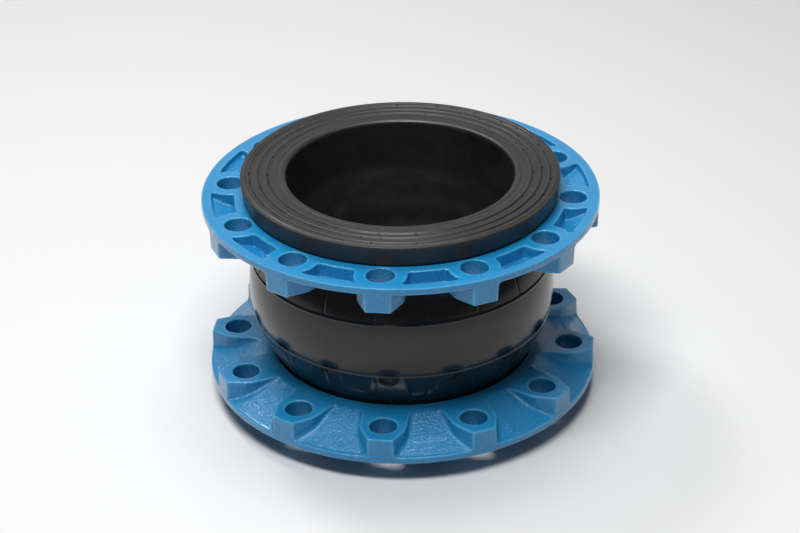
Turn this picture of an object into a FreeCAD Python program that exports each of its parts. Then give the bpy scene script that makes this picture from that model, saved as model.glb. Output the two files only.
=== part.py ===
import FreeCAD, Part
import math
import os
import re

import Sketcher

# Single-sphere rubber expansion joint with two floating flanges, nominal bore 200 mm.
# The joint stands on its lower sealing face: origin at the centre of that face, +Z along the flow axis.
# All sizes are millimetres or degrees.

SIZES = {
    "overall_length": 205,
    "bolt_count": 12,
    # flange casting, measured from its flat outer face towards the rubber arch
    "flange_radius": 170,
    "flange_bore": 115.3,
    "flange_thick": 23,
    "rim_thick": 6,
    "hub_radius": 124,
    "rim_radius": 168,
    "bolt_circle": 147.5,
    "bolt_hole": 11.5,
    "spoke_half": 20,
    "spoke_shoulder": 151,
    "spoke_root": 118,
    "nose_half": 10.7,
    "nose_radius": 169.6,
    "pocket_inner": 142.6,
    "pocket_outer": 161.2,
    "pocket_deep": 12,
    "pocket_shallow": 5.4,
    "pocket_post": 22,
    "cut_margin": 1,
    # rubber end ring that makes the seal
    "collar_depth": 19,
    "collar_gap": 0.8,
    "seal_radius": 136.4,
    "seal_foot": 134.6,
    "seal_plate": 5,
    "wall_inner": 127,
    # rubber body
    "bore_radius": 97.5,
    "liner_neck": 101,
    "carcass_neck": 108.6,
    "cover_neck": 113.5,
    "crown_radius": 132.3,
    "cover_thick": 3,
    "ply_thick": 1.5,
    "liner_thick": 3,
    "arch_half": 60.5,
    "ply_count": 4,
    "lip_thick": 1.2,
    "lip_radius": 126.7,
    # steel wire hoop inside each end
    "wire_radius": 1.1,
    "hoop_radius": 112.9,
    "hoop_height": 13.9,
    "wrap_outer": 3.9,
    "wrap_inner": 3.4,
    "filler_inner": 117,
}

FULL_TURN = 360
HALF_TURN = 180
RING_WIRES = 6

document = FreeCAD.newDocument("rubber_expansion_joint")
sheet = document.addObject("Spreadsheet::Sheet", "Sheet")
for row, (alias, size) in enumerate(SIZES.items(), start=1):
    sheet.set(f"A{row}", alias)
    sheet.set(f"B{row}", str(size))
    sheet.setAlias(f"B{row}", alias)
document.recompute()

subparts = []


def bound(formula):
    """The formula with each driving dimension written as a reference to its cell."""
    return re.sub(r"[a-z_]+", lambda word: "Sheet." + word[0] if word[0] in SIZES else word[0], formula)


def number(formula):
    """The present value of a formula of driving dimensions."""
    return float(sheet.evalExpression(bound(formula)))


def keep(thing, label, placement):
    """Names a finished sub-part, puts it in place and lists it for export."""
    thing.Label = label
    thing.Placement = placement
    subparts.append(thing)


def new_sketch(body, name, plane):
    """An empty sketch on one of the body's own origin planes."""
    support = next(item for item in body.Origin.OriginFeatures if item.Role == plane)
    sketch = body.newObject("Sketcher::SketchObject", name)
    sketch.AttachmentSupport = [(support, "")]
    sketch.MapMode = "FlatFace"
    return sketch


def drive(sketch, index, formula):
    """Binds one constraint of a sketch to a formula."""
    sketch.setExpression(f"Constraints[{index}]", bound(formula))


def pin(sketch, edge, end, across, up):
    """Fixes one end of an edge at two formula-driven coordinates."""
    for formula, kind, axis in ((across, "DistanceX", -2), (up, "DistanceY", -1)):
        if formula == "0":
            sketch.addConstraint(Sketcher.Constraint("PointOnObject", edge, end, axis))
        else:
            value = number(formula)
            drive(sketch, sketch.addConstraint(Sketcher.Constraint(kind, -1, 1, edge, end, value)), formula)


def end_at(sketch, edge, point):
    """Which end of an edge, 1 or 2, lies at the point. An arc always runs anticlockwise."""
    gap = (sketch.getPoint(edge, 1) - point).Length
    return 1 if gap < (sketch.getPoint(edge, 2) - point).Length else 2


def outline(body, name, plane, corners, bulges=None):
    """A closed sketch through the corners. bulges gives the arc radius of the edge that leaves a corner."""
    bulges = bulges or {}
    sketch = new_sketch(body, name, plane)
    points = [FreeCAD.Vector(number(across), number(up), 0) for across, up in corners]
    for index, start in enumerate(points):
        stop = points[(index + 1) % len(points)]
        if index in bulges:
            radius = number(bulges[index])
            half = (stop - start) * 0.5
            away = FreeCAD.Vector(1, 0, 0) * math.sqrt(radius**2 - half.Length**2)
            centre = start + half - away
            crown = centre + FreeCAD.Vector(radius, 0, 0)
            sketch.addGeometry(Part.Arc(start, crown, stop), False)
        else:
            sketch.addGeometry(Part.LineSegment(start, stop), False)
    for index, (across, up) in enumerate(corners):
        end = end_at(sketch, index, points[index])
        pin(sketch, index, end, across, up)
        before = (index - 1) % len(corners)
        joined = end_at(sketch, before, points[index])
        sketch.addConstraint(Sketcher.Constraint("Coincident", before, joined, index, end))
    for index, formula in bulges.items():
        value = number(formula)
        drive(sketch, sketch.addConstraint(Sketcher.Constraint("Radius", index, value)), formula)
    return sketch


def turned(name, corners, bulges=None):
    """A body turned about Z from a half section of (radius, height) corners."""
    body = document.addObject("PartDesign::Body", name)
    section = outline(body, name + "_section", "XZ_Plane", corners, bulges)
    turning = body.newObject("PartDesign::Revolution", name + "_turned")
    turning.Profile = section
    turning.ReferenceAxis = (section, ["V_Axis"])
    turning.Angle = FULL_TURN
    section.Visibility = False
    document.recompute()
    return body


def around(body, feature, name):
    """Repeats one feature of the body once per bolt."""
    pattern = body.newObject("PartDesign::PolarPattern", name)
    pattern.Originals = [feature]
    axis = next(item for item in body.Origin.OriginFeatures if item.Role == "Z_Axis")
    pattern.Axis = (axis, [""])
    pattern.Angle = FULL_TURN
    pattern.setExpression("Occurrences", bound("bolt_count"))
    body.Tip = pattern
    document.recompute()


def upright(height=0.0, turn=0.0):
    """A piece standing at a height and turned about the flow axis."""
    return FreeCAD.Placement(FreeCAD.Vector(0, 0, height), FreeCAD.Rotation(FreeCAD.Vector(0, 0, 1), turn))


def upturned(height, turn=0.0):
    """A piece turned upside down about X, with its own height 0 at the given height."""
    over = FreeCAD.Rotation(FreeCAD.Vector(1, 0, 0), HALF_TURN)
    place = upright(height, turn)
    return FreeCAD.Placement(place.Base, place.Rotation * over)


# Flange casting

def flange_plate(name):
    """Conical plate with a flat hub, a spoke with a faceted nose behind each bolt, and the bolt holes."""
    body = turned(
        name + "_plate",
        [
            ("flange_bore", "0"),
            ("flange_radius", "0"),
            ("flange_radius", "rim_thick"),
            ("rim_radius", "rim_thick"),
            ("hub_radius", "flange_thick"),
            ("flange_bore", "flange_thick"),
        ],
    )
    spoke_outline = outline(
        body,
        name + "_spoke_outline",
        "XY_Plane",
        [
            ("spoke_root", "-spoke_half"),
            ("spoke_shoulder", "-spoke_half"),
            ("nose_radius", "-nose_half"),
            ("nose_radius", "nose_half"),
            ("spoke_shoulder", "spoke_half"),
            ("spoke_root", "spoke_half"),
        ],
    )
    spoke = body.newObject("PartDesign::Pad", name + "_spoke")
    spoke.Profile = spoke_outline
    spoke.setExpression("Length", bound("flange_thick"))
    document.recompute()
    around(body, spoke, name + "_spokes")
    circle = new_sketch(body, name + "_bolt_outline", "XY_Plane")
    centre = FreeCAD.Vector(number("bolt_circle"), 0, 0)
    circle.addGeometry(Part.Circle(centre, FreeCAD.Vector(0, 0, 1), number("bolt_hole")), False)
    pin(circle, 0, 3, "bolt_circle", "0")
    drive(circle, circle.addConstraint(Sketcher.Constraint("Radius", 0, number("bolt_hole"))), "bolt_hole")
    hole = body.newObject("PartDesign::Pocket", name + "_bolt_hole")
    hole.Profile = circle
    hole.Type = "ThroughAll"
    hole.Midplane = True
    document.recompute()
    around(body, hole, name + "_bolt_holes")
    return body


def flange_pockets(name):
    """Ring of lightening pockets in the flat face, with a sloping floor, kept clear of each bolt boss."""
    ring = turned(
        name + "_pocket_ring",
        [
            ("pocket_inner", "-cut_margin"),
            ("pocket_outer", "-cut_margin"),
            ("pocket_outer", "pocket_shallow"),
            ("pocket_inner", "pocket_deep"),
        ],
    )
    posts = []
    for index in range(int(number("bolt_count"))):
        post = document.addObject("Part::Cylinder", f"{name}_post_{index + 1}")
        post.setExpression("Radius", bound("pocket_post"))
        post.setExpression("Height", bound("2 * flange_thick"))
        angle = f"{index} * {FULL_TURN} / bolt_count"
        post.setExpression("Placement.Base.x", bound(f"bolt_circle * cos({angle})"))
        post.setExpression("Placement.Base.y", bound(f"bolt_circle * sin({angle})"))
        post.setExpression("Placement.Base.z", bound("-flange_thick"))
        posts.append(post)
    pockets = document.addObject("Part::Cut", name + "_pockets")
    joined = document.addObject("Part::MultiFuse", name + "_posts")
    joined.Shapes = posts
    pockets.Base = ring
    pockets.Tool = joined
    document.recompute()
    return pockets


def flange(name, placement):
    """One floating flange, with its outer face at height 0 and its back upwards."""
    casting = document.addObject("Part::Cut", name)
    casting.Base = flange_plate(name)
    casting.Tool = flange_pockets(name)
    document.recompute()
    keep(casting, name, placement)


# Rubber body

OUTER_ARC = "((arch_half^2 + (crown_radius - cover_neck)^2) / 2 / (crown_radius - cover_neck))"
ARC_CENTRE = f"(crown_radius - {OUTER_ARC})"


def arc_radius(crown):
    """Radius of a layer's arc with the given crown radius, concentric with the outer cover's arc."""
    return f"({crown} - {ARC_CENTRE})"


def arc_reach(neck, crown):
    """Half height over which a layer's arc stands out from its neck."""
    return f"sqrt({arc_radius(crown)}^2 - ({neck} - {ARC_CENTRE})^2)"


def from_top(height):
    """The height of the same feature at the upper end."""
    return f"overall_length - ({height})"


def layer(name, inside, outside, end_height, lip_top=None):
    """One rubber or cord layer. inside and outside are (neck radius, crown radius) formulas.

    A layer with a lip turns outwards round the bead at both ends, between end_height and lip_top."""
    inner_neck, inner_crown = inside
    outer_neck, outer_crown = outside
    inner_reach = arc_reach(inner_neck, inner_crown)
    outer_reach = arc_reach(outer_neck, outer_crown)
    middle = "overall_length / 2"
    foot = [(outer_neck, end_height)]
    if lip_top:
        foot = [(outer_neck, lip_top), ("lip_radius", lip_top), ("lip_radius", end_height)]
    inner_side = [
        (inner_neck, end_height),
        (inner_neck, f"{middle} - {inner_reach}"),
        (inner_neck, f"{middle} + {inner_reach}"),
        (inner_neck, from_top(end_height)),
    ]
    head = [(radius, from_top(height)) for radius, height in reversed(foot)]
    outer_side = [
        (outer_neck, f"{middle} + {outer_reach}"),
        (outer_neck, f"{middle} - {outer_reach}"),
    ]
    bulges = {
        1: arc_radius(inner_crown),
        len(inner_side) + len(head): arc_radius(outer_crown),
    }
    keep(turned(name, inner_side + head + outer_side + foot, bulges), name, upright())


def sealing_collar(name, placement):
    """End ring of the rubber body: the sealing plate and the wall round the bead."""
    body = turned(
        name,
        [
            ("bore_radius", "0"),
            ("seal_radius", "0"),
            ("seal_foot", "collar_depth - collar_gap"),
            ("wall_inner", "collar_depth - collar_gap"),
            ("wall_inner", "seal_plate"),
            ("bore_radius", "seal_plate"),
        ],
    )
    keep(body, name, placement)


def bead_hoop(name, placement):
    """Bundle of steel wire hoops that anchors the cord plies: a core wire and a ring of wires round it."""
    spots = [("0", 0)]
    for index in range(RING_WIRES):
        spots.append(("(2 * wire_radius)", index * FULL_TURN / RING_WIRES))
    wires = []
    for index, (spread, angle) in enumerate(spots):
        wire = document.addObject("Part::Torus", f"{name}_wire_{index + 1}")
        wire.setExpression("Radius2", bound("wire_radius"))
        wire.setExpression("Radius1", bound(f"hoop_radius + {spread} * cos({angle})"))
        wire.setExpression("Placement.Base.z", bound(f"hoop_height + {spread} * sin({angle})"))
        wires.append(wire)
    bundle = document.addObject("Part::Compound", name)
    bundle.Links = wires
    document.recompute()
    keep(bundle, name, placement)


def bead_wrap(name, placement):
    """Fabric tape wound round the wire bundle."""
    shells = []
    for part, size in (("outside", "wrap_outer"), ("inside", "wrap_inner")):
        torus = document.addObject("Part::Torus", f"{name}_{part}")
        torus.setExpression("Radius1", bound("hoop_radius"))
        torus.setExpression("Radius2", bound(size))
        torus.setExpression("Placement.Base.z", bound("hoop_height"))
        shells.append(torus)
    wrap = document.addObject("Part::Cut", name)
    wrap.Base = shells[0]
    wrap.Tool = shells[1]
    document.recompute()
    keep(wrap, name, placement)


def bead_filler(name, placement):
    """Hard rubber ring between the wire bundle and the collar wall."""
    lips_top = "seal_plate + ply_count * lip_thick"
    body = turned(
        name,
        [
            ("filler_inner", lips_top),
            ("lip_radius", lips_top),
            ("lip_radius", "collar_depth - collar_gap"),
            ("filler_inner", "collar_depth - collar_gap"),
        ],
    )
    keep(body, name, placement)


length = number("overall_length")
depth = number("collar_depth")

# both flanges turn freely; they stand with their bolt holes straddling the X and Y centre lines
straddle = number(f"{HALF_TURN} / bolt_count")
flange("lower_flange", upright(depth, straddle))
flange("upper_flange", upturned(length - depth, straddle))

for end, place in (("lower", upright()), ("upper", upturned(length))):
    sealing_collar(end + "_sealing_collar", place)
    bead_hoop(end + "_bead_hoop", place)
    bead_wrap(end + "_bead_wrap", place)
    bead_filler(end + "_bead_filler", place)

PLY_INSIDE = "(crown_radius - cover_thick - ply_count * ply_thick)"
LINER_INSIDE = f"({PLY_INSIDE} - liner_thick)"
NECK_STEP = "((carcass_neck - liner_neck) / ply_count)"

layer("inner_liner", ("bore_radius", LINER_INSIDE), ("liner_neck", PLY_INSIDE), "seal_plate")
for ply in range(int(number("ply_count"))):
    layer(
        f"cord_ply_{ply + 1}",
        (f"(liner_neck + {ply} * {NECK_STEP})", f"({PLY_INSIDE} + {ply} * ply_thick)"),
        (f"(liner_neck + {ply + 1} * {NECK_STEP})", f"({PLY_INSIDE} + {ply + 1} * ply_thick)"),
        f"seal_plate + {ply} * lip_thick",
        f"seal_plate + {ply + 1} * lip_thick",
    )
layer(
    "outer_cover",
    ("carcass_neck", "(crown_radius - cover_thick)"),
    ("cover_neck", "crown_radius"),
    "collar_depth - collar_gap",
)

document.recompute()

faults = [item.Name for item in document.Objects if {"Invalid", "Error"} & set(item.State)]
for piece in subparts:
    if piece.Shape.isNull() or not piece.Shape.isValid():
        faults.append(piece.Label)
if faults:
    raise RuntimeError("these objects failed: " + ", ".join(faults))

os.makedirs("parts", exist_ok=True)
for piece in subparts:
    piece.Shape.exportStep(os.path.join("parts", piece.Label + ".step"))
    box = piece.Shape.BoundBox
    print(f"{piece.Label:24s} solids {len(piece.Shape.Solids)} volume {piece.Shape.Volume / 1000:9.1f} cm3"
          f"  z {box.ZMin:7.2f} to {box.ZMax:7.2f}  radius {box.XMax:7.2f}")
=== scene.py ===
import math

import bpy
import numpy as np
from mathutils import Matrix, Vector


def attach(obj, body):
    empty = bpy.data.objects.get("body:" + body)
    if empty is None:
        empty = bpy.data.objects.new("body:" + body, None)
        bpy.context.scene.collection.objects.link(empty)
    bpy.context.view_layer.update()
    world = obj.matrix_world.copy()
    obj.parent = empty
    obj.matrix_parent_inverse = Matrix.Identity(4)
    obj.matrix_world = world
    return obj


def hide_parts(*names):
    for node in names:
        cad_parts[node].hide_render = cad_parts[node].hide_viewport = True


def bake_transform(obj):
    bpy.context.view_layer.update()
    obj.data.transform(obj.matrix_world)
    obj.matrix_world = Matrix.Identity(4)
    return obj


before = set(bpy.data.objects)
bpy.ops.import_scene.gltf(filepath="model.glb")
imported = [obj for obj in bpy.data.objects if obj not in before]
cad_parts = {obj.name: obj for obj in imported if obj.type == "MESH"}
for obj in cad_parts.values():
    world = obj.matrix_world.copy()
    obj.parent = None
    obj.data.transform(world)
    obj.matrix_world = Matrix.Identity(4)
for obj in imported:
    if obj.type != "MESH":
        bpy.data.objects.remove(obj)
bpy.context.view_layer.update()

MM = 0.001

# Heights and radii of the rubber body and the flanges, in millimetres.
LENGTH = 205.0
MIDDLE = LENGTH / 2
COLLAR_DEPTH = 19.0
FLANGE_THICK = 23.0
LOWER_BACK = COLLAR_DEPTH + FLANGE_THICK
UPPER_BACK = LENGTH - LOWER_BACK
BOLTS = 12
BOLT_CIRCLE = 147.5
BOLT_HOLE = 11.5
BOLT_TURN = 180 / BOLTS
SECTOR = 2 * math.pi / BOLTS


# Meshes

def new_object(name, verts, faces, material):
    """A mesh object from points in millimetres."""
    mesh = bpy.data.meshes.new(name)
    mesh.from_pydata((np.asarray(verts, float) * MM).tolist(), [], faces)
    mesh.update()
    mesh.polygons.foreach_set("use_smooth", [True] * len(mesh.polygons))
    mesh.materials.append(material)
    piece = bpy.data.objects.new(name, mesh)
    bpy.context.scene.collection.objects.link(piece)
    return piece


def ring_faces(rows, turns):
    """Quads of a closed tube of rings, first ring joined to the last: rows x turns points."""
    row = np.repeat(np.arange(rows), turns)
    step = np.tile(np.arange(turns), rows)
    after_row = (row + 1) % rows
    after_step = (step + 1) % turns
    quads = np.stack([
        row * turns + step,
        row * turns + after_step,
        after_row * turns + after_step,
        after_row * turns + step,
    ], axis=1)
    return quads.tolist()


def turned_ring(name, radii, heights, angles, material, sharp):
    """A closed ring. radii and heights have a row for each profile point; sharp lists the hard rows."""
    rows, turns = radii.shape
    verts = np.stack([radii * np.cos(angles), radii * np.sin(angles), heights], axis=2).reshape(-1, 3)
    piece = new_object(name, verts, ring_faces(rows, turns), material)
    edge_points = np.zeros(len(piece.data.edges) * 2, int)
    piece.data.edges.foreach_get("vertices", edge_points)
    edge_rows = edge_points.reshape(-1, 2) // turns
    same = edge_rows[:, 0] == edge_rows[:, 1]
    flags = same & np.isin(edge_rows[:, 0], list(sharp))
    mark = piece.data.attributes.new("sharp_edge", "BOOLEAN", "EDGE")
    mark.data.foreach_set("value", flags)
    return piece


# Rounded solids from distance functions

def join_round(a, b, radius):
    """Union of two solids with a fillet where they meet."""
    outer = np.hypot(np.maximum(radius - a, 0), np.maximum(radius - b, 0))
    return np.maximum(radius, np.minimum(a, b)) - outer


def meet_round(a, b, radius):
    """Common part of two solids with a rounded edge where they meet."""
    return -join_round(-a, -b, radius)


# One flange casting: radii, heights and lengths in millimetres.
RIM_RADIUS = 170.0
RIM_THICK = 6.0
LIP_RADIUS = 168.0
HUB_RADIUS = 124.0
BORE_RADIUS = 115.3
CONE_SLOPE = (FLANGE_THICK - RIM_THICK) / (LIP_RADIUS - HUB_RADIUS)
POCKET_INNER = 142.6
POCKET_OUTER = 161.2
POCKET_DEEP = 12.0
POCKET_SHALLOW = 5.4
POCKET_POST = 22.0
POCKET_CORNER = 3.4
POCKET_FLOOR_FILLET = 1.6
BOSS_NOSE = 169.8
BOSS_SHOULDER = 151.0
BOSS_HALF_WIDTH = 20.0
NOSE_HALF_WIDTH = 10.7
FACET_END = 169.6
DRAFT = 0.05
PARTING_HEIGHT = 13.0
BOSS_FILLET = 3.0
RIM_EDGE = 1.0
FACE_EDGE = 0.8
BORE_EDGE = 0.9
HOLE_EDGE = 1.3
POCKET_EDGE = 0.9


def boss_outline(x, y):
    """Distance to the plan of one boss: parallel sides, two facets and a flat nose."""
    side = np.abs(y)
    nose = x - BOSS_NOSE
    past_shoulder = x - BOSS_SHOULDER
    past_side = side - BOSS_HALF_WIDTH
    flank = past_side + 0.02 * past_shoulder
    run, rise = FACET_END - BOSS_SHOULDER, BOSS_HALF_WIDTH - NOSE_HALF_WIDTH
    facet = (past_shoulder * rise + past_side * run) / math.hypot(run, rise)
    front = meet_round(nose, facet, 1.0)
    return meet_round(front, flank, 2.5)


def pocket_distance(radius, u, v, z):
    """Distance to the lightening pocket between two bolt holes, cut into the outer face."""
    beside = BOLT_CIRCLE * np.array([math.cos(SECTOR), math.sin(SECTOR)])
    own = POCKET_POST - np.hypot(u - BOLT_CIRCLE, v)
    next_one = POCKET_POST - np.hypot(u - beside[0], np.abs(v) - beside[1])
    plan = meet_round(POCKET_INNER - radius, radius - POCKET_OUTER, 2.0)
    plan = meet_round(plan, meet_round(own, next_one, 1.0), POCKET_CORNER)
    slope = (POCKET_DEEP - POCKET_SHALLOW) / (POCKET_OUTER - POCKET_INNER)
    floor = (z - POCKET_DEEP + (radius - POCKET_INNER) * slope) / math.hypot(1, slope)
    return meet_round(plan - 0.4 + z * DRAFT, floor, POCKET_FLOOR_FILLET)


def casting(points):
    """Signed distance, in millimetres, to one flange. Its outer face is at height 0 and its back upwards."""
    x, y, z = points[:, 0], points[:, 1], points[:, 2]
    radius = np.hypot(x, y)
    turn = np.mod(np.arctan2(y, x) + SECTOR / 2, SECTOR) - SECTOR / 2
    u, v = radius * np.cos(turn), radius * np.sin(turn)
    tilt = math.hypot(1, CONE_SLOPE)
    cone = (z - FLANGE_THICK + (radius - HUB_RADIUS) * CONE_SLOPE) / tilt
    web = join_round(cone, z - RIM_THICK, 1.0)
    boss = (boss_outline(u, v) + (z - PARTING_HEIGHT) * DRAFT) / math.hypot(1, DRAFT)
    solid = join_round(web, boss, BOSS_FILLET)
    solid = meet_round(solid, z - FLANGE_THICK, RIM_EDGE)
    solid = meet_round(solid, radius - RIM_RADIUS, RIM_EDGE)
    solid = meet_round(solid, -z, FACE_EDGE)
    solid = meet_round(solid, BORE_RADIUS - radius, BORE_EDGE)
    hole = BOLT_HOLE - np.hypot(u - BOLT_CIRCLE, v)
    solid = meet_round(solid, hole, HOLE_EDGE)
    return meet_round(solid, -pocket_distance(radius, u, v, z), POCKET_EDGE)


def pull_to_surface(points, rounds=3):
    """Moves points along the distance function's slope onto its surface."""
    nudge = 0.02
    for _ in range(rounds):
        here = casting(points)
        slope = np.empty_like(points)
        for axis in range(3):
            ahead = points.copy()
            ahead[:, axis] += nudge
            slope[:, axis] = (casting(ahead) - here) / nudge
        length = np.maximum((slope ** 2).sum(axis=1), 0.2)
        points = points - slope * (here / length)[:, None]
    return points


GRID_STEP = 0.95
TURNS_PER_SECTOR = 72


def casting_field(radii, angles, heights):
    """The casting's distance at each point of the grid, from one sector repeated."""
    grid = np.stack(np.meshgrid(radii, angles[:TURNS_PER_SECTOR], heights, indexing="ij"), axis=-1)
    flat = grid.reshape(-1, 3)
    places = np.stack([flat[:, 0] * np.cos(flat[:, 1]), flat[:, 0] * np.sin(flat[:, 1]), flat[:, 2]], axis=1)
    sector = casting(places).reshape(len(radii), TURNS_PER_SECTOR, len(heights))
    return np.tile(sector, (1, BOLTS, 1))


def surface_net(field):
    """Grid places and quads of the surface where the field changes sign, one point per crossed cell."""
    count = np.zeros(field.shape)
    total = np.zeros(field.shape + (3,))
    edges = []
    for along in range(3):
        others = [axis for axis in range(3) if axis != along]
        far = np.roll(field, -1, along)
        crossing = (field < 0) != (far < 0)
        share = np.where(crossing, field / np.where(crossing, field - far, 1), 0)
        edges.append((along, others, crossing))
        for a in (0, 1):
            for b in (0, 1):
                moved = np.roll(crossing, (-a, -b), others)
                count += moved
                total[..., along] += np.roll(share, (-a, -b), others)
                total[..., others[0]] += a * moved
                total[..., others[1]] += b * moved
    active = count > 0
    index = np.full(field.shape, -1)
    index[active] = np.arange(active.sum())
    offset = total[active] / count[active][:, None]
    quads = []
    for along, others, crossing in edges:
        corners = [np.roll(index, shift, others)[crossing] for shift in ((1, 1), (0, 1), (0, 0), (1, 0))]
        square = np.stack(corners, axis=1)
        inward = field[crossing] >= 0
        backwards = inward != (along == 1)
        square[backwards] = square[backwards][:, ::-1]
        quads.append(square)
    return np.argwhere(active) + offset, np.concatenate(quads)


def flange_mesh():
    """Points and quads of one flange, found on a grid of radius, angle and height."""
    radii = np.arange(112.8, 172.6, GRID_STEP)
    heights = np.arange(-1.6, 25.4, GRID_STEP)
    turns = TURNS_PER_SECTOR * BOLTS
    angles = (np.arange(turns) + 0.5) * 2 * math.pi / turns
    cell, quads = surface_net(casting_field(radii, angles, heights))
    radius = radii[0] + cell[:, 0] * (radii[1] - radii[0])
    angle = angles[0] + cell[:, 1] * (angles[1] - angles[0])
    height = heights[0] + cell[:, 2] * (heights[1] - heights[0])
    verts = pull_to_surface(np.stack([radius * np.cos(angle), radius * np.sin(angle), height], axis=1))
    for _ in range(2):
        verts = pull_to_surface(relaxed(verts, quads), rounds=2)
    return verts, quads.tolist()


def relaxed(verts, quads):
    """Each point moved halfway to the average of its neighbours."""
    total = np.zeros_like(verts)
    count = np.zeros(len(verts))
    for corner in range(4):
        here, there = quads[:, corner], quads[:, (corner + 1) % 4]
        np.add.at(total, here, verts[there])
        np.add.at(total, there, verts[here])
        np.add.at(count, here, 1)
        np.add.at(count, there, 1)
    return (verts + total / count[:, None]) / 2


# Materials

def material(name, **values):
    """A principled material with constants on the shader's own sockets."""
    made = bpy.data.materials.new(name)
    made.use_nodes = True
    shader = made.node_tree.nodes["Principled BSDF"]
    for socket, value in values.items():
        shader.inputs[socket.replace("_", " ")].default_value = value
    return made


def add(made, kind, **values):
    """A node with some of its inputs set by name."""
    node = made.node_tree.nodes.new(kind)
    for socket, value in values.items():
        node.inputs[socket.replace("_", " ")].default_value = value
    return node


def link(made, source, output, target, socket):
    made.node_tree.links.new(source.outputs[output], target.inputs[socket])


def noise(made, place, scale, detail=3.0, roughness=0.5):
    node = add(made, "ShaderNodeTexNoise", Scale=scale, Detail=detail, Roughness=roughness)
    link(made, place, "Object", node, "Vector")
    return node


def between(made, source, output, low, high, start=0.3, stop=0.7):
    """A colour that runs from low to high as the source runs from start to stop."""
    ramp = made.node_tree.nodes.new("ShaderNodeValToRGB")
    ramp.color_ramp.elements[0].position = start
    ramp.color_ramp.elements[0].color = low
    ramp.color_ramp.elements[1].position = stop
    ramp.color_ramp.elements[1].color = high
    link(made, source, output, ramp, "Fac")
    return ramp


def grey(value):
    return (value, value, value, 1)


# Sockets of a colour mix, which share their names with those of its other data types.
MIX_FACTOR, MIX_UNDER, MIX_OVER, MIX_RESULT = 0, 6, 7, 2


def mixed(made, factor, under, over):
    """A colour mix. under and over are (node, output) pairs, and so is the result."""
    node = made.node_tree.nodes.new("ShaderNodeMix")
    node.data_type = "RGBA"
    link(made, factor, "Color", node, MIX_FACTOR)
    link(made, *under, node, MIX_UNDER)
    link(made, *over, node, MIX_OVER)
    return node, MIX_RESULT


def bumps(made, *layers):
    """Bump nodes in a row, each (node, output, strength, distance in millimetres)."""
    shader = made.node_tree.nodes["Principled BSDF"]
    before = None
    for source, output, strength, distance in layers:
        bump = add(made, "ShaderNodeBump", Strength=strength, Distance=distance * MM)
        link(made, source, output, bump, "Height")
        if before:
            link(made, before, "Normal", bump, "Normal")
        before = bump
    link(made, before, "Normal", shader, "Normal")
    if shader.inputs["Coat Weight"].default_value > 0:
        link(made, before, "Normal", shader, "Coat Normal")


def cast_mask(made, place):
    """Nearly 0 on the flat faces and 1 on sloping and side walls, which the sand mould left rough."""
    split = made.node_tree.nodes.new("ShaderNodeSeparateXYZ")
    link(made, place, "Normal", split, "Vector")
    level = made.node_tree.nodes.new("ShaderNodeMath")
    level.operation = "ABSOLUTE"
    link(made, split, "Z", level, "Value")
    return between(made, level, "Value", grey(1), grey(0.12), 0.955, 0.985)


def paint_colour(made, place, cast, pebbles):
    """Blue with faint clouds. Where the casting is rough it is mottled with painted glint and shade, lighter
    on the pebble tops and darker between them. Lighter blue along the edges is a painted highlight.
    """
    clouds = noise(made, place, 18, 4)
    plain = between(made, clouds, "Fac", (0.009, 0.205, 0.45, 1), (0.014, 0.235, 0.50, 1))
    # Painted glint and shade on the pebbles: the same noise as the pebble bumps, lighter on their tops and
    # darker between them, mixed in on the rough cast walls.
    rough = between(made, pebbles, "Fac", (0.008, 0.190, 0.43, 1), (0.015, 0.250, 0.52, 1), 0.36, 0.64)
    surface = mixed(made, cast, (plain, "Color"), (rough, "Color"))
    geometry = made.node_tree.nodes.new("ShaderNodeNewGeometry")
    # Painted highlight: lighter blue mixed in along the sharp edges, found by their pointiness.
    corners = between(made, geometry, "Pointiness", grey(0.0), grey(0.60), 0.505, 0.545)
    painted_edge_highlight = between(made, clouds, "Fac", (0.06, 0.38, 0.66, 1), (0.09, 0.44, 0.74, 1))
    return mixed(made, corners, surface, (painted_edge_highlight, "Color"))


def blue_paint():
    """Glossy blue coating: smooth on the flat faces, pebbled by the sand mould on sloping and side walls."""
    made = material("blue_coating", Coat_Weight=0.8, Coat_Roughness=0.05, Specular_IOR_Level=0.25)
    shader = made.node_tree.nodes["Principled BSDF"]
    place = made.node_tree.nodes.new("ShaderNodeTexCoord")
    dull = noise(made, place, 60, 4)
    gloss = between(made, dull, "Fac", grey(0.24), grey(0.36))
    link(made, gloss, "Color", shader, "Roughness")
    cast = cast_mask(made, place)
    pebbles = noise(made, place, 560, 2, 0.6)
    link(made, *paint_colour(made, place, cast, pebbles), shader, "Base Color")
    masked = made.node_tree.nodes.new("ShaderNodeMath")
    masked.operation = "MULTIPLY"
    link(made, pebbles, "Fac", masked, 0)
    link(made, cast, "Color", masked, 1)
    peel = noise(made, place, 520, 2)
    lumps = noise(made, place, 95, 3, 0.6)
    bumps(made, (lumps, "Fac", 0.5, 0.35), (masked, "Value", 1.0, 0.80), (peel, "Fac", 0.5, 0.10))
    return made


RING_SCALE = 260


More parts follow.
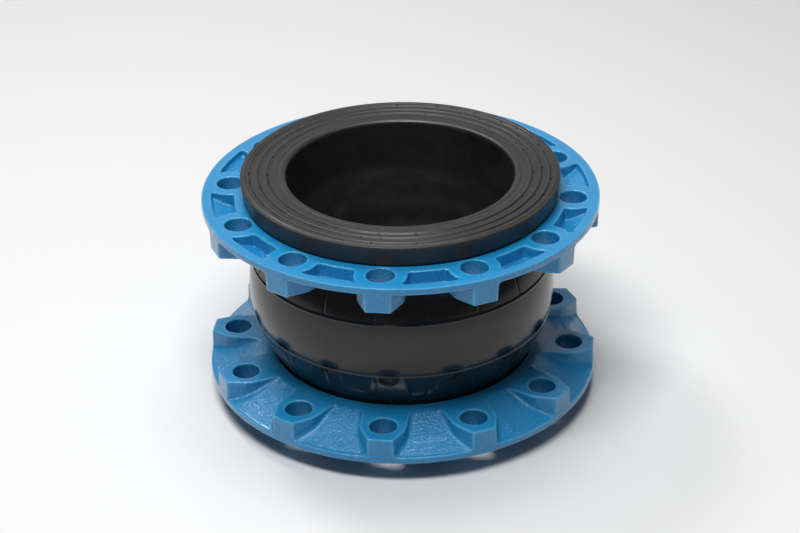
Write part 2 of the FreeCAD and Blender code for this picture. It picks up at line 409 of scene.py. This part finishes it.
def moulded_rubber(name, tint, rough, grain=0.2, rings=0.0):
    """Black moulded rubber: faint blotches, fine grain, slow waves and, where wanted, fine turned rings."""
    made = material(name, Specular_IOR_Level=0.5)
    shader = made.node_tree.nodes["Principled BSDF"]
    place = made.node_tree.nodes.new("ShaderNodeTexCoord")
    clouds = noise(made, place, 22, 4)
    low = (tint[0] * 0.8, tint[1] * 0.8, tint[2] * 0.8, 1)
    high = (tint[0] * 1.25, tint[1] * 1.25, tint[2] * 1.25, 1)
    link(made, between(made, clouds, "Fac", low, high), "Color", shader, "Base Color")
    smears = noise(made, place, 45, 5, 0.6)
    gloss = between(made, smears, "Fac", grey(rough * 0.85), grey(min(rough * 1.25, 1)))
    link(made, gloss, "Color", shader, "Roughness")
    fine = noise(made, place, 900, 3)
    waves = noise(made, place, 28, 2)
    layers = [(waves, "Fac", 0.12, 0.5), (fine, "Fac", grain, 0.08)]
    if rings:
        turned = add(made, "ShaderNodeTexWave", Scale=RING_SCALE, Distortion=0.6, Detail=2.0)
        turned.wave_type = "RINGS"
        turned.rings_direction = "Z"
        link(made, place, "Object", turned, "Vector")
        layers.append((turned, "Fac", rings, 0.05))
    bumps(made, *layers)
    return made


def bead_wire():
    """Brassed steel wire with drawing marks."""
    made = material("bead_wire", Metallic=1.0)
    shader = made.node_tree.nodes["Principled BSDF"]
    place = made.node_tree.nodes.new("ShaderNodeTexCoord")
    marks = noise(made, place, 300, 4)
    colour = between(made, marks, "Fac", (0.45, 0.33, 0.18, 1), (0.66, 0.52, 0.32, 1))
    link(made, colour, "Color", shader, "Base Color")
    gloss = between(made, marks, "Fac", grey(0.28), grey(0.45))
    link(made, gloss, "Color", shader, "Roughness")
    bumps(made, (marks, "Fac", 0.3, 0.05))
    return made


def woven_tape():
    """Rubberised cotton tape with a visible weave."""
    made = material("woven_tape", Sheen_Weight=0.2)
    shader = made.node_tree.nodes["Principled BSDF"]
    place = made.node_tree.nodes.new("ShaderNodeTexCoord")
    weave = add(made, "ShaderNodeTexWave", Scale=350, Distortion=1.0)
    link(made, place, "Object", weave, "Vector")
    colour = between(made, weave, "Fac", (0.16, 0.15, 0.13, 1), (0.30, 0.28, 0.25, 1))
    link(made, colour, "Color", shader, "Base Color")
    fuzz = noise(made, place, 700)
    gloss = between(made, fuzz, "Fac", grey(0.7), grey(0.9))
    link(made, gloss, "Color", shader, "Roughness")
    bumps(made, (weave, "Fac", 0.6, 0.2), (fuzz, "Fac", 0.3, 0.08))
    return made


# Flanges

def stand(points, height, turn):
    """Points of a piece stood at a height and turned about the flow axis."""
    c, s = math.cos(math.radians(turn)), math.sin(math.radians(turn))
    x, y, z = points.T
    return np.stack([c * x - s * y, s * x + c * y, z + height], axis=1)


def turn_over(points):
    """Points turned half round about X, so that what faced up faces down."""
    return points * np.array([1, -1, -1])


def make_flanges(paint):
    verts, quads = flange_mesh()
    lower = new_object("lower_flange_casting", stand(verts, COLLAR_DEPTH, BOLT_TURN), quads, paint)
    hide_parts("lower_flange")
    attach(lower, "lower_ring")
    over = stand(turn_over(verts), LENGTH - COLLAR_DEPTH, BOLT_TURN)
    upper = new_object("upper_flange_casting", over, quads, paint)
    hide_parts("upper_flange")
    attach(upper, "upper_ring")
    pad_points, pad_faces = joined([pad(*size) for size in PADS])
    for end, points in (
        ("lower", stand(pad_points, COLLAR_DEPTH, BOLT_TURN)),
        ("upper", stand(turn_over(pad_points), LENGTH - COLLAR_DEPTH, BOLT_TURN)),
    ):
        pads = new_object(f"{end}_flange_pads", points, pad_faces, paint)
        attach(pads, f"{end}_ring")


# Rubber body

NECK_RADIUS = 113.5
FOOT_RADIUS = 115.0
COVER_CROWN = 132.3
ARCH_HALF = 60.5
RISE = COVER_CROWN - NECK_RADIUS
ARC_RADIUS = (ARCH_HALF ** 2 + RISE ** 2) / 2 / RISE
ARC_CENTRE = COVER_CROWN - ARC_RADIUS
BORE = 97.5
WALL_AT_CROWN = 12.0
RIDGE_REACH = 25.0
FLASH_LINES = 18
FLASH_PHASE = 1.3


def skin_angles():
    """Angles round the body: even steps, with extra ones beside each flash line."""
    even = np.arange(0, 360, 1.25)
    lines = FLASH_PHASE + np.arange(FLASH_LINES) * 360 / FLASH_LINES - 90
    extra = np.concatenate([lines + step for step in (-0.7, -0.35, -0.12, 0.12, 0.35, 0.7)])
    clear = np.abs((even[:, None] - lines[None, :] + 180) % 360 - 180).min(axis=1) > 0.95
    return np.radians(np.sort(np.concatenate([even[clear], np.mod(extra, 360)]))), np.radians(lines)


ANGLES, LINES = skin_angles()


def arc(heights, crown, neck):
    """Radius of a skin that swells from a neck to a crown."""
    reach = crown - ARC_CENTRE
    swell = ARC_CENTRE + np.sqrt(np.maximum(reach ** 2 - (heights - MIDDLE) ** 2, 0))
    return np.maximum(swell, neck)


def outer_skin(heights):
    """Outer radius at each height and angle, with mould ridges, raised crown band and flash lines."""
    off = np.abs(heights - MIDDLE)
    radius = arc(heights, COVER_CROWN, FOOT_RADIUS)
    band = 0.45 / (1 + np.exp((off - RIDGE_REACH) / 0.5))
    ridge = 0.75 * np.exp(-((off - RIDGE_REACH) / 0.75) ** 2)
    apart = np.abs((ANGLES[:, None] - LINES[None, :] + math.pi) % (2 * math.pi) - math.pi).min(axis=1)
    flash = -0.60 * np.exp(-(np.degrees(apart) / 0.30) ** 2)
    outside = 1 / (1 + np.exp(-(off - RIDGE_REACH - 1.5) / 0.4))
    fade = np.clip((ARCH_HALF + 2 - off) / 4, 0, 1)
    return (radius + band + ridge)[:, None] + flash[None, :] * (outside * fade)[:, None]


def inner_skin(heights):
    """Radius of the bore, which widens smoothly into the hollow of the arch."""
    share = np.clip(1 - np.abs(heights - MIDDLE) / ARCH_HALF, 0, 1)
    swell = BORE + (COVER_CROWN - WALL_AT_CROWN - BORE) * np.sin(share * math.pi / 2) ** 2
    return np.repeat(swell[:, None], len(ANGLES), axis=1)


def band_heights(bottom, top):
    """Heights of a band's rings, closer together near the mould ridges."""
    steps = np.linspace(bottom, top, max(3, round((top - bottom) / 1.4) + 1))
    extra = np.concatenate([MIDDLE + side * (RIDGE_REACH + np.arange(-2.4, 2.5, 0.4)) for side in (-1, 1)])
    extra = extra[(extra > bottom + 0.3) & (extra < top - 0.3)]
    ridge_gap = np.abs(np.abs(steps - MIDDLE) - RIDGE_REACH)
    kept = steps[(ridge_gap > 2.7) | (steps == bottom) | (steps == top)]
    return np.sort(np.concatenate([kept, extra]))


def band(name, bottom, top, rubber, inside):
    """One closed ring of the rubber wall, from its inner to its outer skin."""
    heights = band_heights(bottom, top)
    radii = np.concatenate([outer_skin(heights), inner_skin(heights)[::-1]])
    levels = np.concatenate([heights, heights[::-1]])
    level_grid = np.repeat(levels[:, None], len(ANGLES), axis=1)
    last = len(heights) - 1
    sharp = (0, last, last + 1, len(levels) - 1)
    piece = turned_ring(name, radii, level_grid, ANGLES[None, :], rubber, sharp)
    piece.data.materials.append(inside)
    inner = np.repeat(np.arange(len(levels)) > last, len(ANGLES))
    piece.data.polygons.foreach_set("material_index", inner.astype(np.int32))
    return piece


LATERAL_TOP = 70.0
TILT_TOP = 122.0


def make_body(rubber, inside):
    lateral = band("lateral_band", LOWER_BACK, LATERAL_TOP, rubber, inside)
    tilt = band("tilt_band", LATERAL_TOP, TILT_TOP, rubber, inside)
    axial = band("axial_band", TILT_TOP, UPPER_BACK, rubber, inside)
    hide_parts("inner_liner", "cord_ply_1", "cord_ply_2")
    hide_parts("cord_ply_3", "cord_ply_4")
    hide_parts("outer_cover")
    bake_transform(lateral)
    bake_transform(tilt)
    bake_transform(axial)


NECK_PROFILE = [
    (BORE, 5.0), (126.6, 5.0), (126.6, 9.8), (108.6, 9.8), (108.6, 18.3),
    (NECK_RADIUS, 18.3), (NECK_RADIUS, LOWER_BACK), (BORE, LOWER_BACK),
]


def divided(profile, step):
    """The profile with long runs divided, so that shading stays even; also the rows of its own corners."""
    points, corners = [], []
    for index, (start, stop) in enumerate(zip(profile, profile[1:] + profile[:1])):
        corners.append(len(points))
        run = math.dist(start, stop)
        parts = max(1, round(run / step))
        for part in range(parts):
            share = part / parts
            points.append([start[0] + (stop[0] - start[0]) * share, start[1] + (stop[1] - start[1]) * share])
    return np.array(points), corners


def ring_from(name, profile, body, rubber, upper, step=3.0, smooth_corners=(), turns=None):
    """A closed ring turned from (radius, height) points, for the lower end or turned over for the upper."""
    points, corners = divided(profile, step)
    angles = ANGLES if turns is None else np.arange(turns) * 2 * math.pi / turns
    radii = np.repeat(points[:, :1], len(angles), axis=1)
    heights = np.repeat(points[:, 1:], len(angles), axis=1)
    if upper:
        radii, heights = radii[::-1], LENGTH - heights[::-1]
        corners = [len(points) - 1 - corner for corner in corners]
    hard = [row for number, row in enumerate(corners) if number not in smooth_corners]
    piece = turned_ring(name, radii, heights, angles[None, :], rubber, hard)
    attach(piece, body)
    return piece


SEAL_RIDGES = (111.3, 119.2, 126.8, 132.5)
RIDGE_HEIGHT = 0.50
GROOVE_DEPTH = 0.80
GROOVE_OFFSET = 1.7
SEAL_SUNK = 0.55


def seal_profile():
    """Half section of one end collar: ridged face at height 0, side wall and hollow back."""
    face = []
    for radius in np.concatenate([np.arange(98.6, 108.0, 0.6), np.arange(108.0, 134.9, 0.3)]):
        ridge = sum(RIDGE_HEIGHT * math.exp(-((radius - peak) / 0.75) ** 2) for peak in SEAL_RIDGES)
        dips = [math.exp(-((radius - peak - GROOVE_OFFSET) / 0.5) ** 2) for peak in SEAL_RIDGES[:3]]
        groove = sum(GROOVE_DEPTH * dip for dip in dips)
        lip = 0.35 * math.exp(-((radius - 104.3) / 1.2) ** 2) + 0.9 * max(0.0, (101.0 - radius) / 2.6) ** 2
        face.append((float(radius), SEAL_SUNK - ridge + groove + lip))
    edge = [(135.4 + math.sin(a), SEAL_SUNK + 1 - math.cos(a)) for a in np.radians((0, 22, 45, 68, 90))]
    side = [(135.9, 6.0), (135.0, 13.5), (134.7, 16.6), (133.4, 18.2)]
    back = [(127.0, 18.2), (127.0, 5.0), (97.5, 5.0), (97.5, 3.2), (97.9, 2.0)]
    return face + edge + side + back


def make_ends(face_rubber, body_rubber):
    for end, upper in (("lower", False), ("upper", True)):
        profile = seal_profile()
        collar = ring_from(
            f"{end}_collar_ring", profile, f"{end}_end", face_rubber, upper,
            step=2.0, smooth_corners=range(len(profile) - 7), turns=360,
        )
        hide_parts(f"{end}_sealing_collar")
        ring_from(f"{end}_neck", NECK_PROFILE, f"{end}_end", body_rubber, upper)


def ball(centre, radius, rings=4, turns=8):
    """Points and faces of a small closed ball."""
    verts = [(0, 0, -radius)]
    for ring in range(1, rings):
        lift = math.pi * ring / rings - math.pi / 2
        for step in range(turns):
            a = 2 * math.pi * step / turns
            verts.append((radius * math.cos(lift) * math.cos(a), radius * math.cos(lift) * math.sin(a),
                          radius * math.sin(lift)))
    verts.append((0, 0, radius))
    top = len(verts) - 1
    faces = [(0, 1 + (s + 1) % turns, 1 + s) for s in range(turns)]
    for ring in range(rings - 2):
        low = 1 + ring * turns
        for s in range(turns):
            after = (s + 1) % turns
            faces.append((low + s, low + after, low + turns + after, low + turns + s))
    last = 1 + (rings - 2) * turns
    faces += [(last + s, last + (s + 1) % turns, top) for s in range(turns)]
    return np.array(verts) + np.array(centre), faces


def joined(parts):
    """Points and faces of several closed forms as one mesh."""
    verts, faces, first = [], [], 0
    for points, rows in parts:
        verts.append(points)
        faces += [tuple(first + corner for corner in face) for face in rows]
        first += len(points)
    return np.concatenate(verts), faces


NUB_RADIUS = 0.95
NUB_RINGS = ((113.2, 22), (121.1, 16), (128.8, 26))


def make_nubs(rubber):
    """Small stubs that the mould's vents leave along the grooves of the sealing faces."""
    chance = np.random.default_rng(5)
    for end, upper in (("lower", False), ("upper", True)):
        parts = []
        for radius, count in NUB_RINGS:
            first = chance.uniform(0, 1)
            for index in range(count):
                a = 2 * math.pi * (index + first + chance.uniform(-0.48, 0.48)) / count
                sunk = SEAL_SUNK + 0.30
                height = LENGTH - sunk if upper else sunk
                parts.append(ball((radius * math.cos(a), radius * math.sin(a), height), NUB_RADIUS))
        verts, faces = joined(parts)
        nubs = new_object(f"{end}_vent_nubs", verts, faces, rubber)
        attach(nubs, f"{end}_end")


PADS = ((-105.0, 29.0, 10.0), (165.0, 17.0, 13.0), (-15.0, 29.0, 10.0))
PAD_RADIUS = 152.0
PAD_LAYERS = ((1.04, -0.9), (1.02, 0.15), (0.98, 0.55), (0.94, 0.72), (0.88, 0.78))


def pad(turn, width, depth, outline_points=40):
    """A blank raised pad on the sloping back of a flange, at an angle round it."""
    a = math.radians(turn)
    outward = np.array([math.cos(a), math.sin(a), 0])
    across = np.array([-math.sin(a), math.cos(a), 0])
    down = (outward - np.array([0, 0, CONE_SLOPE])) / math.hypot(1, CONE_SLOPE)
    normal = np.cross(down, across)
    height = FLANGE_THICK - (PAD_RADIUS - HUB_RADIUS) * CONE_SLOPE
    centre = outward * PAD_RADIUS + np.array([0, 0, height])
    verts, faces = [], []
    for scale, lift in PAD_LAYERS:
        for step in range(outline_points):
            b = 2 * math.pi * step / outline_points
            x = math.copysign(abs(math.cos(b)) ** 0.4, math.cos(b)) * depth / 2 * scale
            y = math.copysign(abs(math.sin(b)) ** 0.4, math.sin(b)) * width / 2 * scale
            verts.append(centre + down * x + across * y + normal * lift)
    for layer in range(len(PAD_LAYERS) - 1):
        for step in range(outline_points):
            after = (step + 1) % outline_points
            low, high = layer * outline_points, (layer + 1) * outline_points
            faces.append((low + step, low + after, high + after, high + step))
    faces.append(tuple(reversed(range(outline_points))))
    faces.append(tuple(range((len(PAD_LAYERS) - 1) * outline_points, len(PAD_LAYERS) * outline_points)))
    return np.array(verts), faces


# Setting: laid out as seen from the front, then turned round the flow axis to the side that is shown

VIEW_TURN = -9.0


def area_light(name, place, aim, size, power):
    lamp = bpy.data.lights.new(name, "AREA")
    lamp.shape = "RECTANGLE"
    lamp.size, lamp.size_y = size
    lamp.energy = power
    holder = bpy.data.objects.new(name, lamp)
    turn = Matrix.Rotation(math.radians(VIEW_TURN), 4, "Z")
    facing = (Vector(aim) - Vector(place)).to_track_quat("-Z", "Y").to_matrix().to_4x4()
    holder.matrix_world = turn @ Matrix.Translation(place) @ facing
    bpy.context.scene.collection.objects.link(holder)


def backdrop():
    """Pale floor that curves up into a back wall."""
    back, curve = 1.4, 0.8
    steps = np.radians(np.arange(7.5, 90.1, 7.5))
    bend = [(back + curve * math.sin(a), curve - curve * math.cos(a)) for a in steps]
    profile = [(-3.0, 0.0), (back, 0.0)] + bend + [(2.2, 3.5)]
    verts = [(side * 4000.0, y * 1000, z * 1000) for side in (-1, 1) for y, z in profile]
    count = len(profile)
    faces = [(i, i + count, i + count + 1, i + 1) for i in range(count - 1)]
    paper = material("backdrop_paper", Base_Color=(0.73, 0.73, 0.73, 1), Roughness=0.75)
    floor = new_object("backdrop", stand(np.array(verts), 0, VIEW_TURN), faces, paper)


def make_camera():
    """Long lens, looking down at thirty degrees from a little to the right of the front."""
    camera_data = bpy.data.cameras.new("camera")
    camera_data.sensor_width = 36
    camera_data.lens = 97.8
    camera_data.clip_end = 50
    camera = bpy.data.objects.new("camera", camera_data)
    distance, height = 1.649, 1.047
    around, pitch, roll, yaw = map(math.radians, (VIEW_TURN + 0.6, 29.6, -0.79, -0.044))
    ahead = Vector((math.sin(yaw) * math.cos(pitch), math.cos(yaw) * math.cos(pitch), -math.sin(pitch)))
    right = Vector((math.cos(yaw), -math.sin(yaw), 0))
    up = right.cross(ahead)
    tipped_right = right * math.cos(roll) + up * math.sin(roll)
    tipped_up = up * math.cos(roll) - right * math.sin(roll)
    pose = Matrix((tipped_right, tipped_up, -ahead)).transposed().to_4x4()
    pose.translation = Vector((0, -distance, height))
    camera.matrix_world = Matrix.Rotation(around, 4, "Z") @ pose
    bpy.context.scene.collection.objects.link(camera)
    bpy.context.scene.camera = camera


def make_lights():
    """Two soft boxes overhead, a small bright one behind on the left and a dim room."""
    bpy.context.scene.view_settings.view_transform = "Standard"
    world = bpy.data.worlds.new("studio")
    world.use_nodes = True
    world.node_tree.nodes["Background"].inputs["Color"].default_value = (0.93, 0.96, 1.0, 1)
    world.node_tree.nodes["Background"].inputs["Strength"].default_value = 0.09
    bpy.context.scene.world = world
    area_light("front_top", (-0.25, -0.74, 2.05), (0, 0, 0.05), (1.1, 0.5), 36)
    area_light("overhead", (0.0, 0.40, 2.25), (0, 0, 0), (1.1, 0.7), 17)
    area_light("key", (-0.86, 0.98, 1.78), (0, 0, 0.1), (0.4, 0.4), 12)


paint = blue_paint()
cover = moulded_rubber("arch_rubber", (0.0065, 0.0065, 0.007), 0.14)
face = moulded_rubber("seal_rubber", (0.020, 0.0186, 0.0175), 0.38, 0.6, rings=0.9)
liner = moulded_rubber("liner_rubber", (0.006, 0.006, 0.0062), 0.55)
wire = bead_wire()
tape = woven_tape()

backdrop()
make_camera()
make_lights()
make_flanges(paint)
make_body(cover, liner)
make_ends(face, liner)
make_nubs(cover)

for end in ("lower", "upper"):
    for part, finish in (("bead_hoop", wire), ("bead_wrap", tape), ("bead_filler", liner)):
        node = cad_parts[f"{end}_{part}"]
        for holder in node.material_slots:
            holder.material = finish
